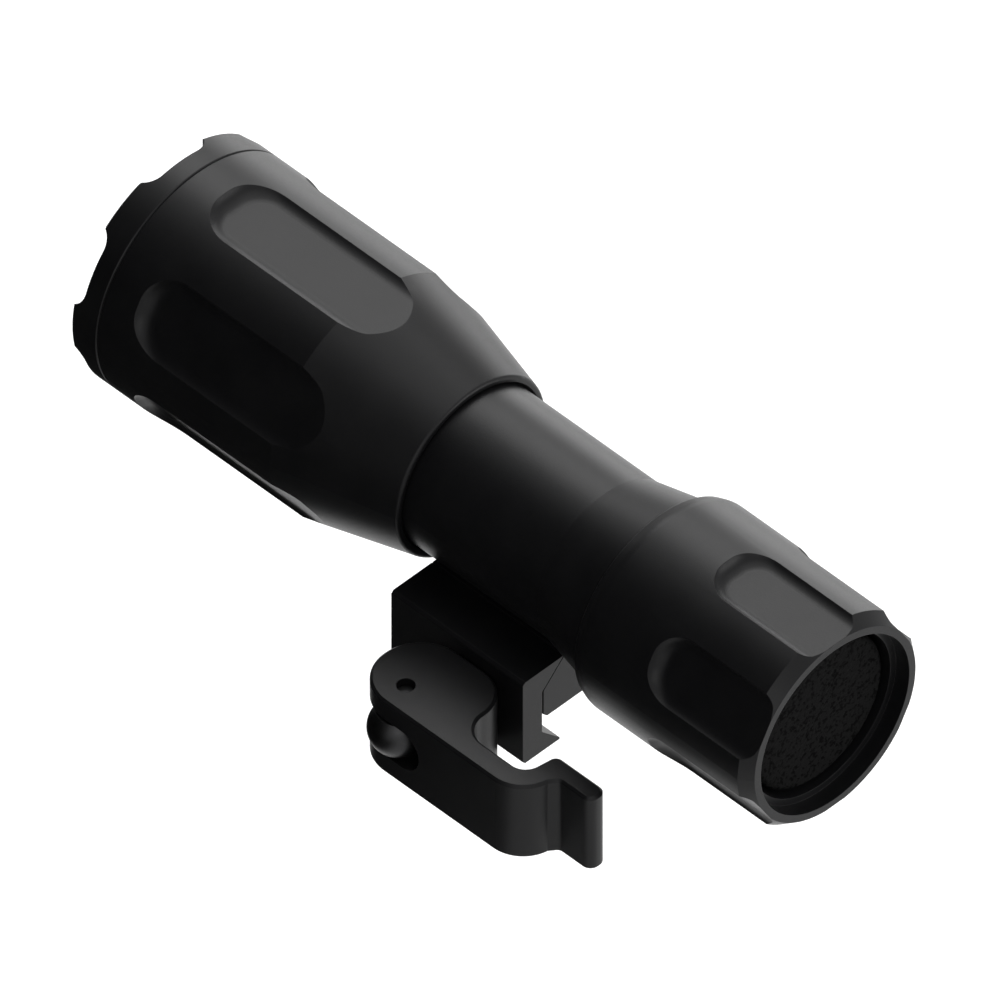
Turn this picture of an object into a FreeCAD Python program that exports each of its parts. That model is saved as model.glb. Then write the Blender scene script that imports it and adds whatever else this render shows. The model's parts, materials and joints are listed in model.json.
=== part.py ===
import FreeCAD, Part
import Sketcher
import math
import os
import re

# Infrared illuminator with a focusing head, a push-button tail cap and a lever clamp
# for an accessory rail. Millimetres. +X is the beam direction, +Y the lever side and
# +Z up. The origin is the centre of the rail seat, on the plane of the cross bolt.

# Driving sizes: alias, value and what the size is.
SIZES = [
    ("running_gap", 0.06, "radial clearance of parts that turn or slide"),
    ("thread_gap", 0.05, "radial clearance of threaded and pushed-in parts"),
    ("seat_gap", 0.03, "radial clearance between the tube and its saddle"),
    ("cut_past", 1.0, "how far a cutter runs past the face it cuts"),
    # focusing head
    ("head_clearance", 0.61, "mount block to the rear face of the head"),
    ("head_cone", 17.04, "length of the head's conical rear"),
    ("head_barrel", 28.8, "length of the head's cylindrical front"),
    ("head_wall", 3.75, "wall of the head outside its bore"),
    ("head_lip_wall", 1.05, "wall of the head at its rear face"),
    ("head_lip_round", 0.5, "rounding of the rear lip"),
    ("head_lead_in", 0.35, "chamfer of the bore at the rear face"),
    ("head_step", 1.6, "step between the head's bearing and its bore"),
    ("collar_length", 14.14, "length of the head's bearing on the tube"),
    ("seam_chamfer", 0.18, "edge break on each side of the bezel joint"),
    ("window_ledge", 0.7, "width of the window's seat"),
    ("window_thickness", 2.0, "front window"),
    ("window_depth", 7.4, "head front to the window's seat"),
    ("window_fit", 0.15, "radial clearance round the window"),
    ("window_seal_section", 1.2, "thickness of the window seal"),
    ("window_seal_inset", 0.8, "window's rim to the middle of its seal"),
    # grip pockets of the head
    ("grip_count", 6, "pockets and scallops round the barrel"),
    ("head_pocket_depth", 1.35, "depth of a head pocket"),
    ("head_pocket_half", 6.44, "half width of the cutter for a head pocket"),
    ("head_pocket_cove", 2.8, "cove between floor and wall of a head pocket"),
    ("head_pocket_end", 5.5, "corner radius of the cutter for a head pocket"),
    ("head_pocket_front", 4.4, "head front to the front end of a pocket"),
    ("head_pocket_length", 34.0, "length of the cutter for a head pocket"),
    # bezel ring
    ("bezel_length", 4.2, "visible length of the bezel ring"),
    ("bezel_lip", 0.7, "bezel's lip inside the head's bore"),
    ("bezel_rim", 1.95, "width of the bezel's front rim"),
    ("bezel_land", 0.5, "straight stretch behind the flared mouth"),
    ("bezel_edge", 0.25, "edge break of the front rim"),
    ("scallop_half", 5.5, "half width of a scallop"),
    ("scallop_depth", 1.5, "depth of a scallop"),
    ("scallop_round", 2.6, "corner radius of a scallop"),
    # lens group
    ("focus_travel", 4.0, "travel of the lens cell"),
    ("lens_front_gap", 0.4, "window to the lens at the end of its travel"),
    ("lens_cell_length", 10.4, "length of the lens cell"),
    ("lens_seat_depth", 6.8, "back of the lens cell to the lens seat"),
    ("lens_ledge", 0.9, "width of the lens seat"),
    ("lens_cell_wall", 1.4, "head's bore to the rim of the lens"),
    ("lens_rim", 1.6, "thickness of the lens rim"),
    ("lens_flat", 1.2, "width of the lens rim"),
    ("lens_bulge", 4.2, "height of the lens's curved area"),
    ("lens_ring_wall", 1.05, "width of the lens retainer"),
    ("lens_ring_length", 1.8, "length of the lens retainer"),
    ("focus_pin_radius", 0.6, "guide pin of the lens cell"),
    ("focus_pin_inset", 1.2, "head's bore to the guide pins' circle"),
    ("focus_pin_seat", 1.8, "depth of a guide pin in the lamp flange"),
    ("focus_pin_grip", 1.5, "guide pin left in the lens cell at the end of its travel"),
    ("focus_pin_end_gap", 0.3, "guide pin to the end of its hole"),
    # lamp
    ("pill_flange", 3.0, "thickness of the lamp flange"),
    ("pill_flange_gap", 0.15, "radial clearance of the lamp flange in the head"),
    ("pill_length", 8.0, "length of the lamp's threaded part in the tube"),
    ("driver_ledge", 0.85, "width of the driver board's seat"),
    ("pill_web", 2.2, "lamp flange's rear face to the end of the cavity"),
    ("lead_radius", 0.5, "insulated lead"),
    ("lead_offset", 4.5, "leads from the barrel axis"),
    ("lead_hole_gap", 0.1, "clearance round a lead"),
    ("led_board_radius", 8.0, "emitter board"),
    ("led_board_thickness", 1.6, "emitter board"),
    ("emitter_side", 3.45, "side of the emitter package"),
    ("emitter_height", 0.9, "height of the emitter package"),
    ("emitter_dome", 1.35, "radius of the emitter's dome"),
    ("driver_inset", 0.5, "tube's bore to the rim of the driver board"),
    ("driver_thickness", 1.6, "driver board"),
    ("driver_setback", 0.4, "driver board in front of the lamp's rear rim"),
    ("choke_radius", 2.2, "choke on the driver board"),
    ("choke_height", 2.4, "choke on the driver board"),
    ("chip_side", 3.6, "driver chip"),
    ("chip_height", 1.0, "driver chip"),
    ("chip_offset", 4.5, "centre of a driver chip from the barrel axis"),
    ("washer_thickness", 0.4, "thrust washer between head collar and lamp"),
    ("washer_gap", 0.1, "play of the thrust washer"),
    # body tube
    ("tube_wall", 2.49, "wall of the tube"),
    ("socket_step", 1.05, "step between the tube's bore and its front socket"),
    ("tube_socket_margin", 0.2, "socket beyond the end of the lamp"),
    ("flare_overlap", 0.45, "start of the tail flare inside the mount's length"),
    ("flare_length", 8.9, "length of the tail flare"),
    ("flare_rise", 1.91, "rise of the tail flare"),
    ("tail_thread_step", 0.24, "step down to the tail thread"),
    ("tail_thread_length", 9.6, "length of the threaded part"),
    ("seal_groove_width", 1.6, "width of both seal grooves"),
    ("head_seal_groove", 1.14, "depth of the head seal's groove"),
    ("head_seal_offset", 4.0, "head's rear face to the head seal"),
    ("tail_seal_groove", 1.2, "depth of the tail seal's groove"),
    ("tail_seal_offset", 2.6, "tail flange to the tail seal"),
    # lithium cell and its contacts
    ("cell_radius", 8.5, "lithium cell"),
    ("cell_length", 33.2, "can of the lithium cell"),
    ("cell_edge", 0.6, "rounding of the can"),
    ("cell_nub_radius", 3.2, "positive terminal"),
    ("cell_nub_height", 1.3, "positive terminal"),
    ("cell_play", 0.25, "radial clearance of the cell in the tube"),
    ("front_spring_room", 2.4, "driver board to the positive terminal"),
    ("front_spring_radius", 2.4, "mean radius of the front contact spring"),
    ("front_spring_wire", 0.35, "wire radius of the front contact spring"),
    ("front_spring_turns", 2.5, "turns of the front contact spring"),
    ("tail_spring_radius", 5.4, "mean radius of the tail contact spring"),
    ("tail_spring_wire", 0.45, "wire radius of the tail contact spring"),
    ("tail_spring_turns", 5, "turns of the tail contact spring"),
    ("tail_contact_inset", 0.6, "retainer's bore to the contact disc"),
    ("tail_contact_thickness", 1.0, "tail contact disc"),
    ("tail_contact_gap", 0.1, "contact disc to the switch housing"),
    # tail cap
    ("tail_seam", 0.1, "gap of the joint between tube and tail cap"),
    ("tail_length", 29.4, "length of the tail cap"),
    ("tail_wall", 3.6, "wall of the tail cap outside its thread"),
    ("tail_front_drop", 0.5, "drop of the shoulder at the cap's front"),
    ("tail_front_round", 0.4, "rounding of the tail cap's front edge"),
    ("tail_shoulder", 1.5, "length of the tail cap's front shoulder"),
    ("tail_shoulder_round", 3.0, "rounding between shoulder and cylinder"),
    ("tail_rim_drop", 1.2, "drop of the rear chamfer"),
    ("tail_rim_chamfer", 1.65, "length of the rear chamfer"),
    ("tail_web", 2.0, "thickness of the inner web"),
    ("tail_well_wall", 3.2, "wall round the button's well"),
    ("tail_rim_wall", 2.25, "wall round the rear counterbore"),
    ("tail_rim_depth", 2.2, "depth of the rear counterbore"),
    ("tail_pocket_depth", 1.3, "depth of a tail pocket"),
    ("tail_pocket_half", 5.2, "half width of the cutter for a tail pocket"),
    ("tail_pocket_cove", 2.2, "cove between floor and wall of a tail pocket"),
    ("tail_pocket_end", 4.4, "corner radius of the cutter for a tail pocket"),
    ("tail_pocket_length", 18.1, "front end of a pocket to the rear rim"),
    # switch
    ("retainer_gap", 0.4, "tube's end to the switch retainer"),
    ("retainer_length", 2.0, "length of the switch retainer"),
    ("retainer_wall", 3.6, "width of the switch retainer"),
    ("housing_boss", 0.2, "housing's boss in front of the retainer"),
    ("housing_length", 3.8, "length of the switch housing's body"),
    ("housing_cavity", 6.0, "radius of the switch housing's cavity"),
    ("housing_cavity_depth", 2.8, "depth of the switch housing's cavity"),
    ("button_travel", 1.2, "travel of the tail button"),
    ("button_rest_gap", 0.2, "plunger flange to the web, and to its stop"),
    ("plunger_flange_inset", 1.55, "cap's bore to the plunger flange"),
    ("plunger_flange", 1.2, "thickness of the plunger flange"),
    ("plunger_stem_radius", 6.0, "plunger stem"),
    ("plunger_stem", 4.8, "length of the plunger stem"),
    ("plunger_nose_radius", 3.0, "plunger nose inside the return spring"),
    ("plunger_nose", 2.1, "length of the plunger nose"),
    ("plunger_boss_radius", 3.5, "plunger boss inside the rubber pad"),
    ("plunger_boss", 1.8, "length of the plunger boss"),
    ("pad_gap", 0.7, "gap round the button"),
    ("pad_thickness", 3.7, "rubber pad of the button"),
    ("pad_edge", 0.8, "rounding of the pad's edge"),
    ("button_spring_radius", 4.3, "mean radius of the button's spring"),
    ("button_spring_wire", 0.3, "wire radius of the button's spring"),
    ("button_spring_turns", 3.5, "turns of the button's spring"),
    # mount block and clamp jaw
    ("block_length", 21.9, "mount block and jaw along the barrel"),
    ("jaw_wall", 3.2, "wall of the jaws beside the rail"),
    ("saddle_floor", 7.06, "rail seat to the underside of the tube"),
    ("saddle_wrap", 1.01, "rise of the block past the underside of the tube"),
    ("block_bottom", 5.35, "lower face below the rail seat"),
    ("block_edge", 0.4, "edge break of block and jaw"),
    ("rail_half_width", 10.8, "half width between the jaws' walls"),
    ("hook_reach", 2.92, "reach of a jaw's hook under the rail"),
    ("hook_tip", 0.28, "height of a jaw's blunt tip"),
    ("seat_relief", 0.6, "corner relief of the rail seat"),
    ("jaw_gap", 0.25, "parting gap between block and jaw"),
    ("parting_height", 4.5, "seat to the start of the sloped parting"),
    # cross bolt and its nut
    ("bolt_radius", 2.4, "cross bolt"),
    ("bolt_height", 0.25, "bolt axis above the rail seat"),
    ("bolt_thread_radius", 2.0, "threaded end of the cross bolt"),
    ("bolt_tip", 0.4, "bolt end beyond the nut"),
    ("ball_radius", 3.75, "ball end of the cross bolt"),
    ("ball_offset", 1.3, "lever pin to the centre of the ball end"),
    ("ball_half", 2.65, "half height between the flats of the ball end"),
    ("nut_flats", 7.0, "nut across flats"),
    ("nut_height", 3.2, "nut"),
    ("nut_sink", 1.0, "depth of the nut's recess"),
    ("nut_recess_radius", 4.3, "nut's recess"),
    # lever
    ("pin_depth", 8.25, "lever's inner side to its pin"),
    ("pin_radius", 1.15, "lever pin"),
    ("pin_inset", 1.2, "lever's faces to the ends of the pin"),
    ("cam_gap", 0.25, "jaw's outer side to the locked lever"),
    ("lever_width", 11.95, "width of the lever's hub"),
    ("lever_nose", 5.8, "pin plane to the lever's front end"),
    ("lever_nose_round", 5.9, "corner radius of the lever's front end"),
    ("lever_low", 5.73, "lower face below the rail seat"),
    ("lever_high", 6.18, "upper face above the rail seat"),
    ("lever_edge", 0.35, "edge break of the lever"),
    ("hub_back", 9.85, "pin plane to the rear face of the hub"),
    ("hub_round", 2.3, "rear corner of the hub"),
    ("arm_thickness", 3.3, "lever arm"),
    ("arm_root_round", 2.4, "corner between hub and arm"),
    ("bend_inner", 20.0, "pin plane to the inner bend of the arm"),
    ("bend_slope", 0.7, "run of the bend's inner side"),
    ("bend_inner_round", 2.3, "inner bend of the arm"),
    ("bend_outer", 20.0, "pin plane to the outer bend of the arm"),
    ("bend_outer_round", 3.6, "outer bend of the arm"),
    ("bend_foot", 24.0, "pin plane to the crease of the finger tab"),
    ("bend_foot_round", 0.8, "crease of the finger tab"),
    ("tab_end", 29.1, "pin plane to the end of the finger tab"),
    ("tab_thickness", 2.8, "finger tab"),
    ("tab_offset", 3.85, "lever's inner side to the finger tab"),
    ("tab_round", 1.25, "corners of the finger tab's end"),
    ("tab_heel_round", 1.0, "corner between bend and finger tab"),
    ("slot_half", 2.95, "half height of the lever's slot"),
    ("slot_back", 2.85, "pin plane to the centre of the slot's round end"),
    # jaw guides, jaw springs and saddle screws
    ("guide_height", 2.6, "jaw guides and springs above the rail seat"),
    ("jaw_pin_inset", 2.35, "end of the jaw to its guide pins"),
    ("jaw_pin_radius", 0.9, "jaw guide pin"),
    ("jaw_pin_seat", 5.0, "depth of a guide pin in the block"),
    ("jaw_pin_reach", 2.6, "length of a guide pin in the jaw"),
    ("jaw_guide_spacing", 3.4, "guide pin to jaw spring"),
    ("jaw_spring_pocket", 1.5, "radius of a jaw spring's pocket"),
    ("jaw_spring_seat", 4.0, "depth of a jaw spring's pocket in the block"),
    ("jaw_spring_reach", 1.5, "depth of a jaw spring's pocket in the jaw"),
    ("jaw_spring_radius", 1.1, "mean radius of a jaw spring"),
    ("jaw_spring_wire", 0.2, "wire radius of a jaw spring"),
    ("jaw_spring_turns", 6, "turns of a jaw spring"),
    ("screw_inset", 4.45, "end of the block to the saddle screws"),
    ("screw_radius", 1.5, "saddle screw"),
    ("screw_head_radius", 2.75, "saddle screw's head"),
    ("screw_head_height", 2.8, "saddle screw's head"),
    ("screw_sink", 0.2, "rail seat to the face of the screw's head"),
    ("screw_socket", 1.25, "half the width across flats of the screw's socket"),
    ("screw_socket_depth", 1.4, "depth of the screw's socket"),
    ("screw_bite", 1.84, "length of a screw in the tube's wall"),
    ("screw_end_gap", 0.12, "screw's end to the end of its hole"),
]

# Places and sizes that follow from the driving ones.
DERIVED = {
    # along the barrel
    "head_back": "block_length / 2 + head_clearance",
    "flare_back": "block_length / 2 - flare_overlap",
    "cone_front": "head_back + head_cone",
    "head_front": "cone_front + head_barrel",
    "bezel_front": "head_front + bezel_length",
    "collar_front": "head_back + collar_length",
    "window_seat": "head_front - window_depth",
    "window_face": "window_seat + window_thickness",
    "spigot_back": "window_face + window_seal_section",
    "tube_front": "collar_front + washer_thickness + washer_gap",
    "flange_front": "tube_front + pill_flange",
    "pill_back": "tube_front - pill_length",
    "lens_apex": "window_seat - lens_front_gap - focus_travel",
    "rim_front": "lens_apex - lens_bulge",
    "lens_seat": "rim_front - lens_rim",
    "lens_cell_back": "lens_seat - lens_seat_depth",
    "lens_cell_front": "lens_cell_back + lens_cell_length",
    "focus_pin_reach": "focus_travel + focus_pin_grip",
    "focus_pin_back": "flange_front - focus_pin_seat",
    "driver_back": "pill_back + driver_setback",
    "driver_front": "driver_back + driver_thickness",
    "cell_front": "driver_back - front_spring_room",
    "can_front": "cell_front - cell_nub_height",
    "cell_back": "can_front - cell_length",
    "flare_start": "-flare_back",
    "flare_end": "-(flare_back + flare_length)",
    "tube_back": "flare_end - tail_thread_length",
    "cap_front": "flare_end - tail_seam",
    "cap_back": "cap_front - tail_length",
    "retainer_front": "tube_back - retainer_gap",
    "housing_front": "retainer_front - retainer_length",
    "housing_back": "housing_front - housing_length",
    "boss_front": "retainer_front + housing_boss",
    "contact_back": "boss_front + tail_contact_gap",
    "contact_front": "contact_back + tail_contact_thickness",
    "plunger_front": "housing_back - button_rest_gap - button_travel",
    "plunger_back": "plunger_front - plunger_flange",
    "web_front": "plunger_back - button_rest_gap",
    "web_back": "web_front - tail_web",
    "pad_front": "plunger_back - plunger_stem",
    "pad_back": "pad_front - pad_thickness",
    "head_seal_place": "head_back + head_seal_offset",
    "tail_seal_place": "flare_end - tail_seal_offset",
    # radii about the barrel axis
    "head_radius": "head_bore + head_wall",
    "head_lip_radius": "collar_bore + head_lip_wall",
    "head_bore": "collar_bore + head_step",
    "window_radius": "head_bore + window_ledge",
    "window_seal_radius": "window_radius - window_seal_inset",
    "head_pocket_floor": "head_radius - head_pocket_depth",
    "bezel_aperture": "head_bore - bezel_lip",
    "bezel_mouth": "head_radius - bezel_rim",
    "lens_cell_bore": "lens_radius - lens_ledge",
    "lens_radius": "head_bore - lens_cell_wall",
    "lens_dome_radius": "lens_radius - lens_flat",
    "lens_ring_bore": "lens_radius - lens_ring_wall",
    "focus_pin_circle": "head_bore - focus_pin_inset",
    "pill_cavity": "driver_radius - driver_ledge",
    "driver_radius": "tube_bore - driver_inset",
    "tube_radius": "tube_bore + tube_wall",
    "tube_socket": "tube_bore + socket_step",
    "flare_radius": "tube_radius + flare_rise",
    "tail_thread_radius": "tube_radius - tail_thread_step",
    "head_seal_floor": "tube_radius - head_seal_groove",
    "tail_seal_floor": "tail_thread_radius - tail_seal_groove",
    "tail_contact_radius": "retainer_bore - tail_contact_inset",
    "tail_radius": "tail_thread_radius + tail_wall",
    "tail_front_radius": "tail_radius - tail_front_drop",
    "tail_rim_radius": "tail_radius - tail_rim_drop",
    "tail_well": "tail_radius - tail_well_wall",
    "tail_rim_bore": "tail_radius - tail_rim_wall",
    "tail_pocket_floor": "tail_radius - tail_pocket_depth",
    "retainer_bore": "tail_thread_radius - retainer_wall",
    "plunger_flange_radius": "cap_bore - plunger_flange_inset",
    "pad_radius": "tail_well - pad_gap",
    "collar_bore": "tube_radius + running_gap",
    "window_bore": "window_radius + window_fit",
    "spigot_radius": "window_bore - thread_gap",
    "dome_curve": "(lens_dome_radius ^ 2 + lens_bulge ^ 2) / (2 * lens_bulge)",
    "lens_cell_radius": "head_bore - thread_gap",
    "lens_bore": "lens_radius + thread_gap",
    "pill_radius": "tube_socket - thread_gap",
    "pill_flange_radius": "head_bore - pill_flange_gap",
    "tube_bore": "cell_radius + cell_play",
    "cap_bore": "tail_thread_radius + thread_gap",
    "housing_radius": "cap_bore - thread_gap",
    "stem_bore": "plunger_stem_radius + thread_gap * 2",
    "head_seal_half": "(collar_bore - thread_gap - head_seal_floor) / 2",
    "tail_seal_half": "(cap_bore - thread_gap - tail_seal_floor) / 2",
    # mount and lever
    "axis_height": "saddle_floor + tube_radius",
    "block_half": "rail_half_width + jaw_wall",
    "block_top": "saddle_floor + saddle_wrap",
    "hook_half_gap": "rail_half_width - hook_reach",
    "parting_half": "rail_half_width - jaw_gap",
    "pin_offset": "lever_inner + pin_depth",
    "tab_inner": "lever_inner + tab_offset",
    "jaw_pin_offset": "block_length / 2 - jaw_pin_inset",
    "jaw_spring_offset": "jaw_pin_offset - jaw_guide_spacing",
    "screw_offset": "block_length / 2 - screw_inset",
    "wall_depth": "block_bottom - hook_tip - hook_reach",
    "parting_slope": "block_top - parting_height",
    "nut_face": "nut_sink - block_half",
    "ball_centre": "pin_offset + ball_offset",
    "ball_reach": "ball_radius + cut_past",
    "lever_height": "lever_low + lever_high",
    "lever_inner": "block_half + cam_gap",
    "lever_outer": "lever_inner + lever_width",
    "arm_inner": "lever_outer - arm_thickness",
    "tab_outer": "tab_inner + tab_thickness",
    "screw_seat": "screw_sink + screw_head_height",
    "screw_play": "thread_gap * 3",
    "screw_top": "saddle_floor + screw_bite",
}

# Where repeated sub-parts stand.
FOCUS_PIN_ANGLES = {"top": 90, "left": 210, "right": 330}
LEAD_SIDES = {"positive": 1, "negative": -1}
FORE_AND_AFT = {"front": 1, "rear": -1}

# Turns of a spring's wire that one face covers.
TURNS_PER_FACE = 1

ALIASES = {name for name, value, meaning in SIZES}
PIECES = []

# Turns that take a shape made along +Z to another axis.
ALONG = {
    "+X": FreeCAD.Rotation(FreeCAD.Vector(0, 1, 0), 90),
    "-X": FreeCAD.Rotation(FreeCAD.Vector(0, 1, 0), -90),
    "+Y": FreeCAD.Rotation(FreeCAD.Vector(1, 0, 0), -90),
    "-Y": FreeCAD.Rotation(FreeCAD.Vector(1, 0, 0), 90),
    "+Z": FreeCAD.Rotation(),
}


def formula(text):
    """Write a formula of size names as an expression on the sheet's cells."""

    def word(match):
        name = match.group(0)
        if name in ALIASES:
            return "Sizes." + name
        if name in DERIVED:
            return "(" + formula(DERIVED[name]) + ")"
        return name

    return re.sub(r"[a-z_]{3,}", word, str(text))


def bind(item, **formulas):
    """Tie properties of a document object to the sheet."""
    for name, text in formulas.items():
        item.setExpression(name, formula(text))


def place(item, x="0", y="0", z="0", turn=None):
    """Give an object its turn and tie its position to the sheet."""
    item.Placement = FreeCAD.Placement(FreeCAD.Vector(), turn or FreeCAD.Rotation())
    for axis, text in (("x", x), ("y", y), ("z", z)):
        item.setExpression("Placement.Base." + axis, formula(text))


def node(item, name):
    """Name a finished sub-part."""
    item.Label = name
    PIECES.append(item)
    return item


def make_sheet(doc):
    sheet = doc.addObject("Spreadsheet::Sheet", "Sizes")
    for row, (name, value, meaning) in enumerate(SIZES, start=1):
        sheet.set(f"A{row}", name)
        sheet.set(f"B{row}", str(value))
        sheet.set(f"C{row}", meaning)
        sheet.setAlias(f"B{row}", name)
    doc.recompute()


def rod(doc, name, radius, length, along, x="0", y="0", z="0"):
    """Cylinder from a start point along one axis."""
    item = doc.addObject("Part::Cylinder", name)
    bind(item, Radius=radius, Height=length)
    place(item, x, y, z, ALONG[along])
    return item


def barrel_rod(doc, name, radius, length, x, circle="0", angle=0):
    """Cylinder parallel to the barrel axis, at an angle on a circle round it."""
    y = f"({circle}) * cos({angle} deg)"
    z = f"axis_height + ({circle}) * sin({angle} deg)"
    return rod(doc, name, radius, length, "+X", x, y, z)


def block(doc, name, length, width, height, x, y, z):
    """Box from its lowest corner."""
    item = doc.addObject("Part::Box", name)
    bind(item, Length=length, Width=width, Height=height)
    place(item, x, y, z)
    return item


def hexagon(doc, name, half_flats, height, along, x="0", y="0", z="0"):
    """Hexagonal bar by half its width across flats."""
    item = doc.addObject("Part::Prism", name)
    item.Polygon = 6
    bind(item, Circumradius=f"({half_flats}) / cos(30 deg)", Height=height)
    place(item, x, y, z, ALONG[along])
    return item


def torus(doc, name, mean_radius, section_radius, x):
    """Seal ring round the barrel axis."""
    item = doc.addObject("Part::Torus", name)
    bind(item, Radius1=mean_radius, Radius2=section_radius)
    place(item, x, "0", "axis_height", ALONG["+X"])
    return item


def cut(doc, name, base, *tools):
    """Take one or more tools away from a base."""
    tool = tools[0] if len(tools) == 1 else fuse(doc, name + "Tools", *tools)
    item = doc.addObject("Part::Cut", name)
    item.Base = base
    item.Tool = tool
    return item


def fuse(doc, name, *shapes):
    item = doc.addObject("Part::MultiFuse", name)
    item.Shapes = list(shapes)
    return item


def common(doc, name, *shapes):
    item = doc.addObject("Part::MultiCommon", name)
    item.Shapes = list(shapes)
    return item


def spring(doc, name, mean_radius, wire_radius, turns, start, end, along, x="0", y="0", z="0"):
    """Coil between two planes: start and end are where its outer sides touch."""
    shift = {along[1].lower(): f"({start}) + ({wire_radius})"}
    origin = {"x": x, "y": y, "z": z}
    origin.update(shift)
    coil = doc.addObject("Part::Helix", name + "Path")
    height = f"({end}) - ({start}) - 2 * ({wire_radius})"
    bind(coil, Radius=mean_radius, Height=height, Pitch=f"({height}) / ({turns})")
    coil.SegmentLength = TURNS_PER_FACE
    section = doc.addObject("Part::Circle", name + "Wire")
    bind(section, Radius=wire_radius)
    place(section, mean_radius, "0", "0", ALONG["+Y"])
    item = doc.addObject("Part::Sweep", name)
    item.Sections = [section]
    item.Spine = (coil, [])
    item.Solid = True
    item.Frenet = True
    place(item, origin["x"], origin["y"], origin["z"], ALONG[along])
    return item


def make_body(doc, name):
    body = doc.addObject("PartDesign::Body", name)
    planes = {part.Role: part for part in body.Origin.OriginFeatures}
    return body, planes


def outline(body, plane, points, name="Outline"):
    """Closed polygon whose corners are tied to the sheet by their two distances."""
    sketch = body.newObject("Sketcher::SketchObject", name)
    sketch.AttachmentSupport = (plane, [""])
    sketch.MapMode = "FlatFace"
    count = len(points)
    start = [
        FreeCAD.Vector(math.cos(turn), math.sin(turn), 0)
        for turn in (2 * math.pi * (i + 0.3) / count for i in range(count))
    ]
    for i in range(count):
        sketch.addGeometry(Part.LineSegment(start[i], start[(i + 1) % count]), False)
    for i in range(count):
        sketch.addConstraint(Sketcher.Constraint("Coincident", i, 2, (i + 1) % count, 1))
    for i, pair in enumerate(points):
        for kind, axis, text in (("DistanceX", -2, pair[0]), ("DistanceY", -1, pair[1])):
            if text == "0":
                sketch.addConstraint(Sketcher.Constraint("PointOnObject", i, 1, axis))
                continue
            index = sketch.addConstraint(Sketcher.Constraint(kind, -1, 1, i, 1, 1.0))
            sketch.renameConstraint(index, f"{kind[-1]}{i}")
            sketch.setExpression(f"Constraints.{kind[-1]}{i}", formula(text))
    return sketch


def turned(doc, name, points):
    """Body turned about the barrel axis from a profile of (x, radius) corners."""
    body, planes = make_body(doc, name)
    sketch = outline(body, planes["XY_Plane"], points, name + "Profile")
    turn = body.newObject("PartDesign::Revolution", name + "Turn")
    turn.Profile = sketch
    turn.ReferenceAxis = (sketch, ["H_Axis"])
    turn.Angle = 360
    body.Tip = turn
    place(body, "0", "0", "axis_height")
    doc.recompute()
    return body, sketch


def ring_edges(shape, corner):
    """Names of the circular edges that a profile corner turned into."""
    names = []
    for number, edge in enumerate(shape.Edges, start=1):
        curve = edge.Curve
        if not isinstance(curve, Part.Circle):
            continue
        if abs(curve.Center.x - corner.x) < 1e-4 and abs(curve.Radius - corner.y) < 1e-4:
            names.append(f"Edge{number}")
    return names


def soften(doc, body, kind, size, names):
    """Fillet or chamfer named edges of a body."""
    base = body.Tip
    feature = body.newObject("PartDesign::" + kind, f"{body.Name}{kind}{len(body.Group)}")
    feature.Base = (base, names)
    bind(feature, **{"Radius" if kind == "Fillet" else "Size": size})
    body.Tip = feature
    doc.recompute()


def soften_rings(doc, body, sketch, kind, size, corners):
    """Fillet or chamfer the edges that profile corners turned into."""
    names = []
    for corner in corners:
        names += ring_edges(body.Tip.Shape, sketch.getPoint(corner, 1))
    soften(doc, body, kind, size, names)


def padded(doc, name, plane, points, length):
    """Body pushed up from an outline on one of its origin planes."""
    body, planes = make_body(doc, name)
    sketch = outline(body, planes[plane], points, name + "Profile")
    pad = body.newObject("PartDesign::Pad", name + "Pad")
    pad.Profile = sketch
    bind(pad, Length=length)
    body.Tip = pad
    doc.recompute()
    return body, sketch


def upright_edges(shape, sketch, corners, axes):
    """Names of the straight edges that stand on given corners of an outline."""
    names = []
    for corner in corners:
        spot = sketch.getPoint(corner, 1)
        for number, edge in enumerate(shape.Edges, start=1):
            ends = [vertex.Point for vertex in edge.Vertexes]
            if len(ends) == 2 and all(
                abs(getattr(end, axes[0]) - spot.x) < 1e-4
                and abs(getattr(end, axes[1]) - spot.y) < 1e-4
                for end in ends
            ):
                names.append(f"Edge{number}")
    return names


def round_corners(doc, body, sketch, size, corners, axes="xy", kind="Fillet"):
    """Round or chamfer the upright edges over given corners of an outline."""
    soften(doc, body, kind, size, upright_edges(body.Tip.Shape, sketch, corners, axes))


def level_edges(shape, axis, level):
    """Names of the edges that lie in one plane."""
    names = []
    for number, edge in enumerate(shape.Edges, start=1):
        box = edge.BoundBox
        low = getattr(box, axis.upper() + "Min")
        high = getattr(box, axis.upper() + "Max")
        if abs(low - level) < 1e-4 and abs(high - level) < 1e-4:
            names.append(f"Edge{number}")
    return names


def soften_level(doc, body, kind, size, axis, level):
    """Fillet or chamfer every edge that lies in one plane of a body."""
    soften(doc, body, kind, size, level_edges(body.Tip.Shape, axis, level))


def cutter_ring(doc, name, back, front, half, floor, top, end_round, cove=None):
    """Ring of equal cutters round the barrel, the first one on top."""
    points = [(back, f"-({half})"), (front, f"-({half})"), (front, half), (back, half)]
    body, sketch = padded(doc, name, "XY_Plane", points, f"({top}) - ({floor})")
    sketch.setExpression("AttachmentOffset.Base.z", formula(floor))
    doc.recompute()
    round_corners(doc, body, sketch, end_round, range(4))
    if cove:
        level = body.Tip.Shape.BoundBox.ZMin
        soften_level(doc, body, "Fillet", cove, "z", level)
    ring = body.newObject("PartDesign::PolarPattern", name + "Ring")
    planes = {part.Role: part for part in body.Origin.OriginFeatures}
    ring.Axis = (planes["X_Axis"], [""])
    ring.Angle = 360
    ring.TransformMode = "Whole shape"
    bind(ring, Occurrences="grip_count")
    body.Tip = ring
    place(body, "0", "0", "axis_height")
    doc.recompute()
    return body


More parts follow.
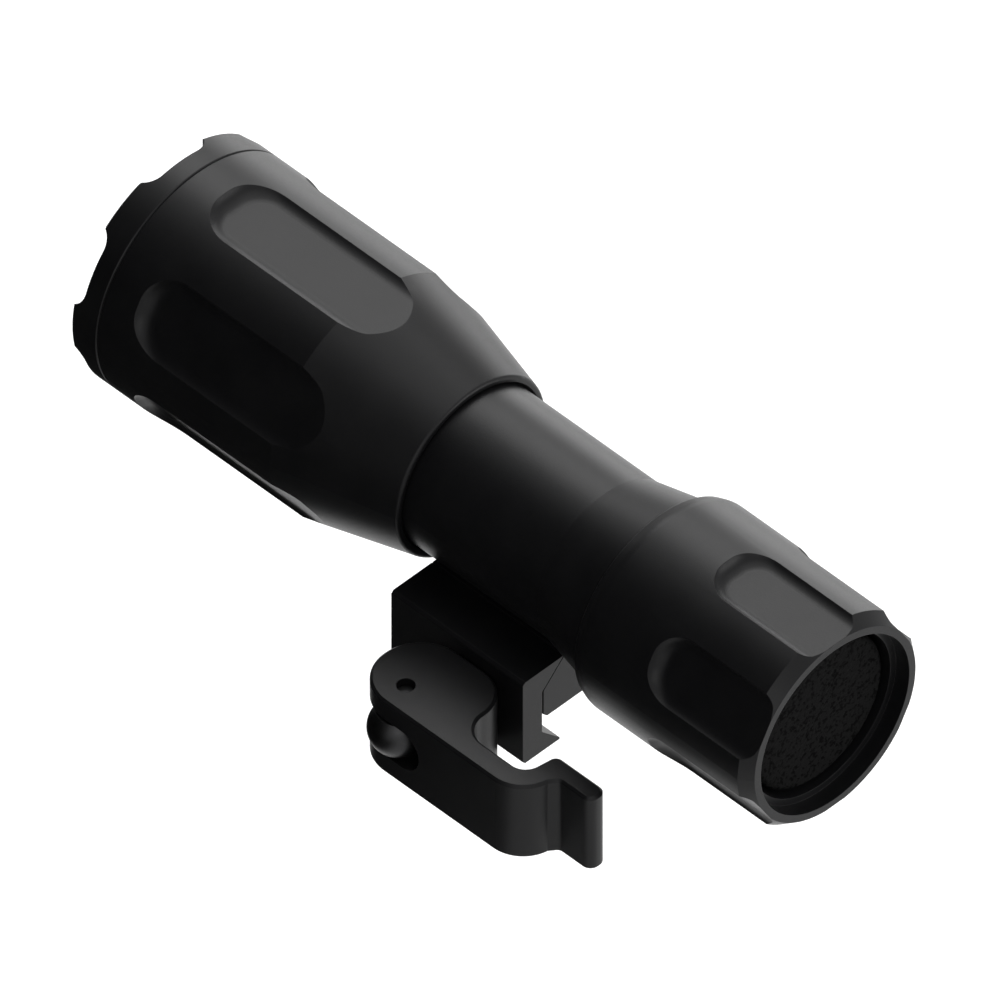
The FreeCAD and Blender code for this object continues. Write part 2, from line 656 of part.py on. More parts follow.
def head_shell(doc):
    """Focusing head: turns on the tube and carries window, bezel and lens cell."""
    body, sketch = turned(doc, "HeadBlank", [
        ("head_back", "collar_bore + head_lead_in"),
        ("head_back", "head_lip_radius"),
        ("cone_front", "head_radius"),
        ("head_front - seam_chamfer", "head_radius"),
        ("head_front", "head_radius - seam_chamfer"),
        ("head_front", "window_bore"),
        ("window_seat", "window_bore"),
        ("window_seat", "head_bore"),
        ("collar_front", "head_bore"),
        ("collar_front", "collar_bore"),
        ("head_back + head_lead_in", "collar_bore"),
    ])
    soften_rings(doc, body, sketch, "Fillet", "head_lip_round", [1])
    front = "head_front - head_pocket_front"
    pockets = cutter_ring(
        doc, "HeadPockets", f"{front} - head_pocket_length", front, "head_pocket_half",
        "head_pocket_floor", "head_radius + head_pocket_cove", "head_pocket_end", "head_pocket_cove")
    node(cut(doc, "HeadShell", body, pockets), "head_shell")


def bezel_ring(doc):
    """Front ring: screws into the head and clamps the window."""
    body, sketch = turned(doc, "BezelBlank", [
        ("spigot_back", "bezel_aperture"),
        ("spigot_back", "spigot_radius"),
        ("head_front", "spigot_radius"),
        ("head_front", "head_radius - seam_chamfer"),
        ("head_front + seam_chamfer", "head_radius"),
        ("bezel_front", "head_radius"),
        ("bezel_front", "bezel_mouth"),
        ("head_front + bezel_land", "bezel_aperture"),
    ])
    soften_rings(doc, body, sketch, "Chamfer", "bezel_edge", [5, 6])
    scallops = cutter_ring(
        doc, "Scallops", "bezel_front - scallop_depth", "bezel_front + scallop_round * 2",
        "scallop_half", "bezel_aperture - cut_past", "head_radius + cut_past", "scallop_round")
    node(cut(doc, "BezelRing", body, scallops), "bezel_ring")


def front_window(doc):
    """Flat glass in front of the lens, with its seal."""
    window = barrel_rod(doc, "FrontWindow", "window_radius", "window_thickness", "window_seat")
    node(window, "front_window")
    half = "window_seal_section / 2"
    seal = torus(doc, "WindowSeal", "window_seal_radius", half, f"window_face + {half}")
    node(seal, "window_seal")


def lens_cell(doc):
    """Sliding cell of the lens, with the holes of its guide pins."""
    body, sketch = turned(doc, "LensCellBlank", [
        ("lens_cell_back", "lens_cell_bore"),
        ("lens_cell_back", "lens_cell_radius"),
        ("lens_cell_front", "lens_cell_radius"),
        ("lens_cell_front", "lens_bore"),
        ("lens_seat", "lens_bore"),
        ("lens_seat", "lens_cell_bore"),
    ])
    holes = [
        barrel_rod(
            doc, f"LensCellHole{angle}", "focus_pin_radius + running_gap",
            "focus_pin_reach + focus_pin_end_gap", "lens_cell_back", "focus_pin_circle", angle)
        for angle in FOCUS_PIN_ANGLES.values()
    ]
    node(cut(doc, "LensCell", body, *holes), "lens_cell")


def focus_pins(doc):
    """Pins in the lamp flange that keep the lens cell from turning."""
    for side, angle in FOCUS_PIN_ANGLES.items():
        pin = barrel_rod(
            doc, f"FocusPin{angle}", "focus_pin_radius",
            "lens_cell_back + focus_pin_reach - focus_pin_back", "focus_pin_back",
            "focus_pin_circle", angle)
        node(pin, f"focus_pin_{side}")


def lens(doc):
    """Plano-convex lens with a flat rim, and the ring that holds it."""
    rim = barrel_rod(doc, "LensRim", "lens_radius", "lens_rim", "lens_seat")
    sphere = doc.addObject("Part::Sphere", "LensSphere")
    bind(sphere, Radius="dome_curve")
    place(sphere, "lens_apex - dome_curve", "0", "axis_height")
    stub = barrel_rod(doc, "LensStub", "lens_dome_radius", "lens_bulge + cut_past", "rim_front")
    dome = common(doc, "LensDome", sphere, stub)
    node(fuse(doc, "Lens", rim, dome), "lens")
    ring = turned(doc, "LensRetainer", [
        ("rim_front", "lens_ring_bore"),
        ("rim_front", "lens_bore - thread_gap"),
        ("rim_front + lens_ring_length", "lens_bore - thread_gap"),
        ("rim_front + lens_ring_length", "lens_ring_bore"),
    ])[0]
    node(ring, "lens_retainer")


def lead(doc, name, radius, side, start, end):
    """Cylinder on one of the two places where the emitter's leads run."""
    return rod(
        doc, name, radius, f"({end}) - ({start})", "+X", start,
        f"{side} * lead_offset", "axis_height")


def led_pill(doc):
    """Lamp body: heat sink, stop of the head and seat of both boards."""
    body = turned(doc, "PillBlank", [
        ("pill_back", "driver_radius + thread_gap"),
        ("pill_back", "pill_radius"),
        ("tube_front", "pill_radius"),
        ("tube_front", "pill_flange_radius"),
        ("flange_front", "pill_flange_radius"),
        ("flange_front", "0"),
        ("tube_front - pill_web", "0"),
        ("tube_front - pill_web", "pill_cavity"),
        ("driver_front", "pill_cavity"),
        ("driver_front", "driver_radius + thread_gap"),
    ])[0]
    tools = [
        barrel_rod(
            doc, f"PillHole{angle}", "focus_pin_radius", "focus_pin_seat",
            "focus_pin_back", "focus_pin_circle", angle)
        for angle in FOCUS_PIN_ANGLES.values()
    ]
    for name, side in LEAD_SIDES.items():
        tools.append(lead(
            doc, f"PillLead{name}", "lead_radius + lead_hole_gap", side,
            "tube_front - pill_web", "flange_front"))
    node(cut(doc, "LedPill", body, *tools), "led_pill")


def lamp_boards(doc):
    """Emitter board, emitter, driver board and the two leads between them."""
    board = barrel_rod(
        doc, "LedBoard", "led_board_radius", "led_board_thickness", "flange_front")
    node(board, "led_board")
    top = "flange_front + led_board_thickness"
    package = block(
        doc, "EmitterPackage", "emitter_height", "emitter_side", "emitter_side", top,
        "-emitter_side / 2", "axis_height - emitter_side / 2")
    dome = doc.addObject("Part::Sphere", "EmitterDome")
    bind(dome, Radius="emitter_dome")
    dome.Angle1 = 0
    place(dome, f"{top} + emitter_height", "0", "axis_height", ALONG["+X"])
    node(fuse(doc, "LedEmitter", package, dome), "led_emitter")
    disc = barrel_rod(doc, "DriverDisc", "driver_radius", "driver_thickness", "driver_back")
    choke = barrel_rod(doc, "DriverChoke", "choke_radius", "choke_height", "driver_front")
    chips = [
        block(
            doc, f"DriverChip{index}", "chip_height", "chip_side", "chip_side", "driver_front",
            "-chip_side / 2", f"axis_height + {side} * chip_offset - chip_side / 2")
        for index, side in enumerate((1, -1))
    ]
    node(fuse(doc, "DriverBoard", disc, choke, *chips), "driver_board")
    for name, side in LEAD_SIDES.items():
        wire = lead(doc, f"Lead{name}", "lead_radius", side, "driver_front", "flange_front")
        node(wire, f"led_lead_{name}")


def thrust_washer(doc):
    """Slippery washer between the head's collar and the lamp flange."""
    back = "tube_front - washer_thickness"
    ring = turned(doc, "ThrustWasher", [
        (back, "tube_radius + thread_gap * 2"),
        (back, "pill_flange_radius"),
        ("tube_front", "pill_flange_radius"),
        ("tube_front", "tube_radius + thread_gap * 2"),
    ])[0]
    node(ring, "thrust_washer")


def body_tube(doc):
    """Tube: battery bore, lamp socket, seal grooves, tail flare and tail thread."""
    half = "seal_groove_width / 2"
    body = turned(doc, "TubeBlank", [
        ("tube_back", "tube_bore"),
        ("tube_back", "tail_thread_radius"),
        (f"tail_seal_place - {half}", "tail_thread_radius"),
        (f"tail_seal_place - {half}", "tail_seal_floor"),
        (f"tail_seal_place + {half}", "tail_seal_floor"),
        (f"tail_seal_place + {half}", "tail_thread_radius"),
        ("flare_end", "tail_thread_radius"),
        ("flare_end", "flare_radius"),
        ("flare_start", "tube_radius"),
        (f"head_seal_place - {half}", "tube_radius"),
        (f"head_seal_place - {half}", "head_seal_floor"),
        (f"head_seal_place + {half}", "head_seal_floor"),
        (f"head_seal_place + {half}", "tube_radius"),
        ("tube_front", "tube_radius"),
        ("tube_front", "tube_socket"),
        ("pill_back - tube_socket_margin", "tube_socket"),
        ("pill_back - tube_socket_margin", "tube_bore"),
    ])[0]
    holes = [
        rod(
            doc, f"TubeScrewHole{index}", "screw_radius + thread_gap",
            "screw_top + screw_end_gap", "+Z", f"{side} * screw_offset")
        for index, side in enumerate((1, -1))
    ]
    node(cut(doc, "BodyTube", body, *holes), "body_tube")
    seals = (("Head", "head_seal_floor", "head_seal_half", "head_seal_place"),
             ("Tail", "tail_seal_floor", "tail_seal_half", "tail_seal_place"))
    for name, floor, half_section, x in seals:
        seal = torus(doc, name + "Seal", f"{floor} + {half_section}", half_section, x)
        node(seal, name.lower() + "_seal")


def battery_cell(doc):
    """Lithium cell with its positive terminal to the front, and the front spring."""
    cell, sketch = turned(doc, "BatteryCell", [
        ("cell_back", "0"),
        ("cell_back", "cell_radius"),
        ("can_front", "cell_radius"),
        ("can_front", "cell_nub_radius"),
        ("cell_front", "cell_nub_radius"),
        ("cell_front", "0"),
    ])
    soften_rings(doc, cell, sketch, "Fillet", "cell_edge", [1, 2])
    node(cell, "battery_cell")
    coil = spring(
        doc, "FrontSpring", "front_spring_radius", "front_spring_wire", "front_spring_turns",
        "cell_front", "driver_back", "+X", z="axis_height")
    node(coil, "front_contact_spring")


def tail_contact(doc):
    """Spring and disc that join the cell's negative end to the switch."""
    disc = barrel_rod(
        doc, "TailContact", "tail_contact_radius", "tail_contact_thickness", "contact_back")
    node(disc, "tail_contact")
    coil = spring(
        doc, "TailSpring", "tail_spring_radius", "tail_spring_wire", "tail_spring_turns",
        "contact_front", "cell_back", "+X", z="axis_height")
    node(coil, "tail_spring")


def tail_cap(doc):
    """Tail cap with grip pockets, inner web, button well and rear counterbore."""
    body, sketch = turned(doc, "CapBlank", [
        ("cap_front", "cap_bore"),
        ("cap_front", "tail_front_radius"),
        ("cap_front - tail_shoulder", "tail_radius"),
        ("cap_back + tail_rim_chamfer", "tail_radius"),
        ("cap_back", "tail_rim_radius"),
        ("cap_back", "tail_rim_bore"),
        ("cap_back + tail_rim_depth", "tail_rim_bore"),
        ("cap_back + tail_rim_depth", "tail_well"),
        ("web_back", "tail_well"),
        ("web_back", "stem_bore"),
        ("web_front", "stem_bore"),
        ("web_front", "cap_bore"),
    ])
    soften_rings(doc, body, sketch, "Fillet", "tail_front_round", [1])
    soften_rings(doc, body, sketch, "Fillet", "tail_shoulder_round", [2])
    pockets = cutter_ring(
        doc, "TailPockets", "cap_back - tail_pocket_end - cut_past",
        "cap_back + tail_pocket_length", "tail_pocket_half", "tail_pocket_floor",
        "tail_radius + tail_pocket_cove", "tail_pocket_end", "tail_pocket_cove")
    node(cut(doc, "TailCap", body, pockets), "tail_cap")


def switch(doc):
    """Switch housing with its retainer, and the button's plunger, pad and spring."""
    ring = turned(doc, "SwitchRetainer", [
        ("housing_front", "retainer_bore"),
        ("housing_front", "housing_radius"),
        ("retainer_front", "housing_radius"),
        ("retainer_front", "retainer_bore"),
    ])[0]
    node(ring, "switch_retainer")
    housing = turned(doc, "SwitchHousing", [
        ("housing_back", "housing_cavity"),
        ("housing_back", "housing_radius"),
        ("housing_front", "housing_radius"),
        ("housing_front", "retainer_bore - thread_gap"),
        ("boss_front", "retainer_bore - thread_gap"),
        ("boss_front", "0"),
        ("housing_back + housing_cavity_depth", "0"),
        ("housing_back + housing_cavity_depth", "housing_cavity"),
    ])[0]
    node(housing, "switch_housing")
    plunger = turned(doc, "ButtonPlunger", [
        ("pad_front - plunger_boss", "0"),
        ("pad_front - plunger_boss", "plunger_boss_radius"),
        ("pad_front", "plunger_boss_radius"),
        ("pad_front", "plunger_stem_radius"),
        ("plunger_back", "plunger_stem_radius"),
        ("plunger_back", "plunger_flange_radius"),
        ("plunger_front", "plunger_flange_radius"),
        ("plunger_front", "plunger_nose_radius"),
        ("plunger_front + plunger_nose", "plunger_nose_radius"),
        ("plunger_front + plunger_nose", "0"),
    ])[0]
    node(plunger, "button_plunger")
    pad, sketch = turned(doc, "ButtonPad", [
        ("pad_back", "0"),
        ("pad_back", "pad_radius"),
        ("pad_front", "pad_radius"),
        ("pad_front", "plunger_boss_radius"),
        ("pad_front - plunger_boss", "plunger_boss_radius"),
        ("pad_front - plunger_boss", "0"),
    ])
    soften_rings(doc, pad, sketch, "Fillet", "pad_edge", [1])
    node(pad, "button_pad")
    coil = spring(
        doc, "ButtonSpring", "button_spring_radius", "button_spring_wire",
        "button_spring_turns", "plunger_front", "housing_back + housing_cavity_depth", "+X",
        z="axis_height")
    node(coil, "button_spring")


def cross_tools(doc, name, gap, x, z, radius, start, end):
    """Cylinder across the rail, from one Y to another."""
    return rod(
        doc, name, f"{radius} + {gap}", f"({end}) - ({start})", "+Y", x, start, z)


def jaw_guides(doc, name, pin_span, spring_span):
    """Holes for the jaw's guide pins and springs in one of the two parts."""
    tools = []
    for side, sign in FORE_AND_AFT.items():
        tools.append(cross_tools(
            doc, f"{name}PinHole{side}", "running_gap", f"{sign} * jaw_pin_offset",
            "guide_height", "jaw_pin_radius", *pin_span))
        tools.append(cross_tools(
            doc, f"{name}SpringHole{side}", "0", f"{sign} * jaw_spring_offset",
            "guide_height", "jaw_spring_pocket", *spring_span))
    return tools


def mount_block(doc):
    """Saddle, rail seat and fixed far jaw, machined from one piece."""
    body, sketch = padded(doc, "BlockBlank", "YZ_Plane", [
        ("parting_half - seat_relief", "0"),
        ("parting_half", "seat_relief"),
        ("parting_half", "parting_height"),
        ("parting_half - parting_slope", "block_top"),
        ("-block_half", "block_top"),
        ("-block_half", "-block_bottom"),
        ("-hook_half_gap", "-block_bottom"),
        ("-hook_half_gap", "hook_tip - block_bottom"),
        ("-rail_half_width", "-wall_depth"),
        ("-rail_half_width", "-seat_relief"),
        ("seat_relief - rail_half_width", "0"),
    ], "block_length")
    place(body, "-block_length / 2")
    round_corners(doc, body, sketch, "block_edge", [4, 5], axes="yz", kind="Chamfer")
    tools = [
        rod(
            doc, "SaddleCut", "tube_radius + seat_gap", "block_length + 2 * cut_past", "+X",
            "-block_length / 2 - cut_past", "0", "axis_height"),
        cross_tools(
            doc, "BlockBoltHole", "running_gap", "0", "bolt_height", "bolt_radius",
            "-block_half - cut_past", "parting_half + cut_past"),
        rod(
            doc, "NutRecess", "nut_recess_radius", "nut_sink + cut_past", "-Y", "0", "nut_face",
            "bolt_height"),
    ]
    tools += jaw_guides(
        doc, "Block", ("parting_half - jaw_pin_seat", "parting_half + cut_past"),
        ("parting_half - jaw_spring_seat", "parting_half + cut_past"))
    for side, sign in FORE_AND_AFT.items():
        x = f"{sign} * screw_offset"
        tools.append(rod(
            doc, f"ScrewHeadHole{side}", "screw_head_radius + screw_play",
            "screw_seat + cut_past", "+Z", x, "0", "-cut_past"))
        tools.append(rod(
            doc, f"ScrewHole{side}", "screw_radius + screw_play", "block_top", "+Z", x))
    node(cut(doc, "MountBlock", body, *tools), "mount_block")


def saddle_screws(doc):
    """Socket screws that hold the tube down on its saddle."""
    for side, sign in FORE_AND_AFT.items():
        x = f"{sign} * screw_offset"
        head = rod(
            doc, f"ScrewHead{side}", "screw_head_radius", "screw_head_height", "+Z", x, "0",
            "screw_sink")
        shank = rod(
            doc, f"ScrewShank{side}", "screw_radius", "screw_top - screw_seat", "+Z", x, "0",
            "screw_seat")
        socket = hexagon(
            doc, f"ScrewSocket{side}", "screw_socket", "screw_socket_depth + cut_past", "+Z", x,
            "0", "screw_sink - cut_past")
        whole = fuse(doc, f"ScrewBlank{side}", head, shank)
        node(cut(doc, f"SaddleScrew{side}", whole, socket), f"saddle_screw_{side}")


def clamp_jaw(doc):
    """Moving jaw between the block and the lever."""
    body, sketch = padded(doc, "JawBlank", "YZ_Plane", [
        ("rail_half_width", "-wall_depth"),
        ("hook_half_gap", "hook_tip - block_bottom"),
        ("hook_half_gap", "-block_bottom"),
        ("block_half", "-block_bottom"),
        ("block_half", "block_top"),
        ("rail_half_width - parting_slope", "block_top"),
        ("rail_half_width", "parting_height"),
    ], "block_length")
    place(body, "-block_length / 2")
    round_corners(doc, body, sketch, "block_edge", [3, 4], axes="yz", kind="Chamfer")
    tools = [cross_tools(
        doc, "JawBoltHole", "running_gap", "0", "bolt_height", "bolt_radius",
        "hook_half_gap - cut_past", "block_half + cut_past")]
    inside = "rail_half_width - cut_past"
    tools += jaw_guides(
        doc, "Jaw", (inside, "rail_half_width + jaw_pin_reach + thread_gap * 2"),
        (inside, "rail_half_width + jaw_spring_reach"))
    node(cut(doc, "ClampJaw", body, *tools), "clamp_jaw")


def jaw_hardware(doc):
    """Guide pins and opening springs between block and jaw."""
    for side, sign in FORE_AND_AFT.items():
        pin = cross_tools(
            doc, f"JawPin{side}", "0", f"{sign} * jaw_pin_offset", "guide_height",
            "jaw_pin_radius", "parting_half - jaw_pin_seat", "rail_half_width + jaw_pin_reach")
        node(pin, f"jaw_guide_pin_{side}")
        coil = spring(
            doc, f"JawSpring{side}", "jaw_spring_radius", "jaw_spring_wire",
            "jaw_spring_turns", "parting_half - jaw_spring_seat",
            "rail_half_width + jaw_spring_reach", "+Y", f"{sign} * jaw_spring_offset",
            z="guide_height")
        node(coil, f"jaw_spring_{side}")


def cross_bolt(doc):
    """Bolt across the rail: ball end for the lever, thread for the nut."""
    ball = doc.addObject("Part::Sphere", "BoltBall")
    bind(ball, Radius="ball_radius")
    place(ball, "0", "ball_centre", "bolt_height")
    flats = block(
        doc, "BallFlats", "ball_reach * 2", "ball_reach * 2", "ball_half * 2", "-ball_reach",
        "ball_centre - ball_reach", "bolt_height - ball_half")
    flat_ball = common(doc, "FlatBall", ball, flats)
    shaft = rod(
        doc, "BoltShaft", "bolt_radius", "ball_centre - nut_face", "+Y", "0", "nut_face",
        "bolt_height")
    thread = rod(
        doc, "BoltThread", "bolt_thread_radius", "cut_past + nut_height + bolt_tip", "-Y", "0",
        "nut_face + cut_past", "bolt_height")
    whole = fuse(doc, "BoltBlank", flat_ball, shaft, thread)
    hole = rod(
        doc, "BallHole", "pin_radius + running_gap", "(ball_half + cut_past) * 2", "+Z", "0",
        "pin_offset", "bolt_height - ball_half - cut_past")
    node(cut(doc, "CrossBolt", whole, hole), "cross_bolt")
    nut = hexagon(
        doc, "NutBlank", "nut_flats / 2", "nut_height", "-Y", "0", "nut_face", "bolt_height")
    bore = rod(
        doc, "NutBore", "bolt_thread_radius + thread_gap", "nut_height + 2 * cut_past", "-Y",
        "0", "nut_face + cut_past", "bolt_height")
    node(cut(doc, "BoltNut", nut, bore), "bolt_nut")


def lever(doc):
    """Cam lever: hub with a slot for the ball end, arm and finger tab, one piece."""
    body, sketch = padded(doc, "LeverBlank", "XY_Plane", [
        ("lever_nose", "lever_inner"),
        ("lever_nose", "lever_outer"),
        ("-bend_outer", "lever_outer"),
        ("-bend_foot", "tab_outer"),
        ("-tab_end", "tab_outer"),
        ("-tab_end", "tab_inner"),
        ("-(bend_inner + bend_slope)", "tab_inner"),
        ("-bend_inner", "arm_inner"),
        ("-hub_back", "arm_inner"),
        ("-hub_back", "lever_inner"),
    ], "lever_height")
    place(body, "0", "0", "-lever_low")
    round_corners(doc, body, sketch, "lever_nose_round", [0, 1])
    round_corners(doc, body, sketch, "bend_outer_round", [2])
    round_corners(doc, body, sketch, "bend_foot_round", [3])
    round_corners(doc, body, sketch, "tab_round", [4, 5])
    round_corners(doc, body, sketch, "tab_heel_round", [6])
    round_corners(doc, body, sketch, "bend_inner_round", [7])
    round_corners(doc, body, sketch, "arm_root_round", [8])
    round_corners(doc, body, sketch, "hub_round", [9])
    solid = body.Tip.Shape.BoundBox
    for level in (solid.ZMax, solid.ZMin):
        soften_level(doc, body, "Chamfer", "lever_edge", "z", level)
    width = "lever_width + 2 * cut_past"
    start = "lever_inner - cut_past"
    tools = [
        block(
            doc, "SlotOpen", "slot_back + lever_nose + cut_past", width, "slot_half * 2",
            "-slot_back", start, "bolt_height - slot_half"),
        rod(doc, "SlotEnd", "slot_half", width, "+Y", "-slot_back", start, "bolt_height"),
        rod(
            doc, "LeverPinHole", "pin_radius", "lever_height + 2 * cut_past", "+Z", "0",
            "pin_offset", "-lever_low - cut_past"),
    ]
    node(cut(doc, "Lever", body, *tools), "lever")
    pin = rod(
        doc, "LeverPin", "pin_radius", "lever_height - 2 * pin_inset", "+Z", "0", "pin_offset",
        "pin_inset - lever_low")
    node(pin, "lever_pin")


def check_and_write(doc):
    """Stop on any failed object or shape, then write one file for each sub-part."""
    doc.recompute()
    for item in doc.Objects:
        if "Invalid" in item.State or "Error" in item.State:
            raise SystemExit(f"{item.Name} ({item.Label}) failed: {item.State}")
    for item in PIECES:
        if item.Shape.isNull() or not item.Shape.isValid() or not item.Shape.Solids:
            raise SystemExit(f"{item.Label} has no valid solid")
    os.makedirs("parts", exist_ok=True)
    for item in PIECES:
        item.Shape.exportStep(os.path.join("parts", item.Label + ".step"))
    print(len(PIECES), "sub-parts written")


def main():
    doc = FreeCAD.newDocument("InfraredIlluminator")
    make_sheet(doc)
    for make in (
        head_shell, bezel_ring, front_window, lens_cell, focus_pins, lens, led_pill,
        lamp_boards, thrust_washer, body_tube, battery_cell, tail_contact, tail_cap, switch,
        mount_block, saddle_screws, clamp_jaw, jaw_hardware, cross_bolt, lever,
    ):
        make(doc)
    check_and_write(doc)


main()
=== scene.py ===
import json
import math

import bmesh
import bpy
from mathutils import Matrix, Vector, noise

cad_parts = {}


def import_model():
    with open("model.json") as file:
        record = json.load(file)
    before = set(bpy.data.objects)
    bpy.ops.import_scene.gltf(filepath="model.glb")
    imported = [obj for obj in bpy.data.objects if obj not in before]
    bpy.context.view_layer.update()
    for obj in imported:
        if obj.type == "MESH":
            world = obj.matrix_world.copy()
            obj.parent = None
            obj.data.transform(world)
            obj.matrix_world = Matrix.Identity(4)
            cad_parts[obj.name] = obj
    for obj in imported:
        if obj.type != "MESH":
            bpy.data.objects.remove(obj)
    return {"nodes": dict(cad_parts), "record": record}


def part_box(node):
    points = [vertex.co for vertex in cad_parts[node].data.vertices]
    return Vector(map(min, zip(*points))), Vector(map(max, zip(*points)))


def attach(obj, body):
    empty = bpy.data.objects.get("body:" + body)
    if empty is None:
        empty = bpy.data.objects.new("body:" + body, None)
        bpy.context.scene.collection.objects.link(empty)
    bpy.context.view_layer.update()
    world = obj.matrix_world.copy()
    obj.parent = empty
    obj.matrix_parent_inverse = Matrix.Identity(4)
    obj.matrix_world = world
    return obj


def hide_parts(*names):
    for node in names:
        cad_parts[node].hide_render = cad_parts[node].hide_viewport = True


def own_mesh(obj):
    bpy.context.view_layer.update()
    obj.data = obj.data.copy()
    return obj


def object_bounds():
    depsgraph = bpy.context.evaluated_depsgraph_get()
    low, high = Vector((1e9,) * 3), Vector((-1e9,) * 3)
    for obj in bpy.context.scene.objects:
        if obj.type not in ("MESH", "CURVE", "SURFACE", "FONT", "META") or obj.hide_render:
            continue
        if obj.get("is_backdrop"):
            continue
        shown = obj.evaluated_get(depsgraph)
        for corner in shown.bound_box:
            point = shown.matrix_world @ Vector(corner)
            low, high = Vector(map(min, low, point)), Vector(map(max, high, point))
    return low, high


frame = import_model()
CAD_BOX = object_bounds()
NODES = frame["nodes"]
RECORD = frame["record"]
MM = 0.001

# Camera: above and behind the part, on the lever's side, in parallel projection.
VIEW_TARGET = Vector((6.25, 0.6, 17.08)) * MM
VIEW_BACK = Vector((-0.5, 0.5, math.sqrt(0.5)))
VIEW_DISTANCE = 0.5
VIEW_WIDTH = 117.65 * MM
CLIP_START = 0.01

# Height of the barrel's axis, from the tail button's own box.
AXIS_Z = (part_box("button_pad")[0].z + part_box("button_pad")[1].z) / 2


# Materials

# A mix node's colour sockets share their names with its other sockets, so they go by place.
MIX_FACTOR, MIX_FIRST, MIX_SECOND = 0, 6, 7
MIX_RESULT = 2
BEVEL_SAMPLES = 6
DARKER = 0.8


class Shader:
    """A principled material whose textures are laid out by short calls."""

    def __init__(self, name, colour, roughness, metallic=0.0, **sockets):
        self.material = bpy.data.materials.new(name)
        self.material.use_nodes = True
        self.tree = self.material.node_tree
        self.base = self.tree.nodes["Principled BSDF"]
        self.set("Base Color", (*colour, 1.0))
        self.set("Roughness", roughness)
        self.set("Metallic", metallic)
        for socket, value in sockets.items():
            self.set(socket.replace("_", " "), value)
        self.coordinates = self.add("ShaderNodeTexCoord").outputs["Object"]

    def set(self, socket, value):
        self.base.inputs[socket].default_value = value

    def add(self, kind, **settings):
        item = self.tree.nodes.new(kind)
        for name, value in settings.items():
            setattr(item, name, value)
        return item

    def join(self, output, socket):
        self.tree.links.new(output, socket)

    def noise(self, size, detail=2.0, stretch=(1.0, 1.0, 1.0)):
        """Noise with features of a size in metres."""
        scaled = self.add("ShaderNodeMapping")
        scaled.inputs["Scale"].default_value = stretch
        self.join(self.coordinates, scaled.inputs["Vector"])
        item = self.add("ShaderNodeTexNoise")
        item.inputs["Scale"].default_value = 1.0 / size
        item.inputs["Detail"].default_value = detail
        self.join(scaled.outputs["Vector"], item.inputs["Vector"])
        return item.outputs["Fac"]

    def spread(self, factor, low, high, start=0.3, end=0.7):
        """Value that goes from low to high as a factor rises from start to end."""
        item = self.add("ShaderNodeMapRange")
        limits = {"From Min": start, "From Max": end, "To Min": low, "To Max": high}
        for name, value in limits.items():
            item.inputs[name].default_value = value
        self.join(factor, item.inputs["Value"])
        return item.outputs["Result"]

    def sum(self, first, second, share):
        """First value plus a share of a second one."""
        item = self.add("ShaderNodeMath", operation="MULTIPLY_ADD")
        self.join(second, item.inputs[0])
        item.inputs[1].default_value = share
        self.join(first, item.inputs[2])
        return item.outputs["Value"]

    def colour(self, factor, first, second, **limits):
        """Base colour that goes from a first to a second one as a factor rises."""
        item = self.add("ShaderNodeMix", data_type="RGBA")
        self.join(self.spread(factor, 0.0, 1.0, **limits), item.inputs[MIX_FACTOR])
        item.inputs[MIX_FIRST].default_value = (*first, 1.0)
        item.inputs[MIX_SECOND].default_value = (*second, 1.0)
        self.join(item.outputs[MIX_RESULT], self.base.inputs["Base Color"])

    def roughness(self, factor, low, high):
        self.join(self.spread(factor, low, high), self.base.inputs["Roughness"])

    def rounded(self, radius):
        """Surface normal with its sharp edges rounded."""
        item = self.add("ShaderNodeBevel", samples=BEVEL_SAMPLES)
        item.inputs["Radius"].default_value = radius
        return item.outputs["Normal"]

    def bump(self, height, depth, normal=None):
        """Fine relief of a depth in metres over the surface normal."""
        item = self.add("ShaderNodeBump")
        item.inputs["Strength"].default_value = 1.0
        item.inputs["Distance"].default_value = depth
        self.join(height, item.inputs["Height"])
        if normal:
            self.join(normal, item.inputs["Normal"])
        self.join(item.outputs["Normal"], self.base.inputs["Normal"])


def darker(colour):
    return tuple(value * DARKER for value in colour)


def black_anodised():
    """Blasted aluminium, anodised black: satin, with softly rounded edges."""
    shader = Shader("Black anodised", (0.005, 0.005, 0.0055), 0.38, IOR=1.27)
    cloud = shader.noise(6 * MM, detail=4.0)
    shader.colour(cloud, (0.004, 0.004, 0.0045), (0.006, 0.006, 0.0065))
    grain = shader.noise(0.16 * MM, detail=3.0)
    shader.roughness(grain, 0.34, 0.42)
    shader.bump(grain, 0.008 * MM, shader.rounded(0.1 * MM))
    return shader.material


def clear(name, tint, roughness, ior, coat):
    """Glass or clear plastic."""
    shader = Shader(name, tint, roughness, IOR=ior, Transmission_Weight=1.0, Coat_Weight=coat,
                    Coat_Roughness=0.02)
    shader.roughness(shader.noise(9 * MM), roughness, roughness + 0.02)
    return shader.material


def rubber(name, low, high, cell, depth):
    """Matt rubber with a fine leathery relief, whose pits are painted darker as painted shade."""
    shader = Shader(name, high, 0.7, IOR=1.06)
    pits = shader.noise(cell, detail=4.0)
    fine = shader.noise(cell / 3, detail=3.0)
    # Painted shade: the colour falls to its darker first value where this noise is low, which is
    # where the bump sinks into pits.
    shader.colour(pits, low, high, start=0.40, end=0.48)
    shader.roughness(fine, 0.62, 0.8)
    shader.bump(shader.sum(pits, fine, 0.3), depth)
    return shader.material


def plastic(name, colour, roughness=0.5):
    """Moulded plastic or painted board."""
    shader = Shader(name, colour, roughness, IOR=1.46)
    fine = shader.noise(0.25 * MM)
    shader.colour(fine, darker(colour), colour)
    shader.roughness(fine, roughness - 0.06, roughness + 0.08)
    shader.bump(fine, 0.006 * MM, shader.rounded(0.08 * MM))
    return shader.material


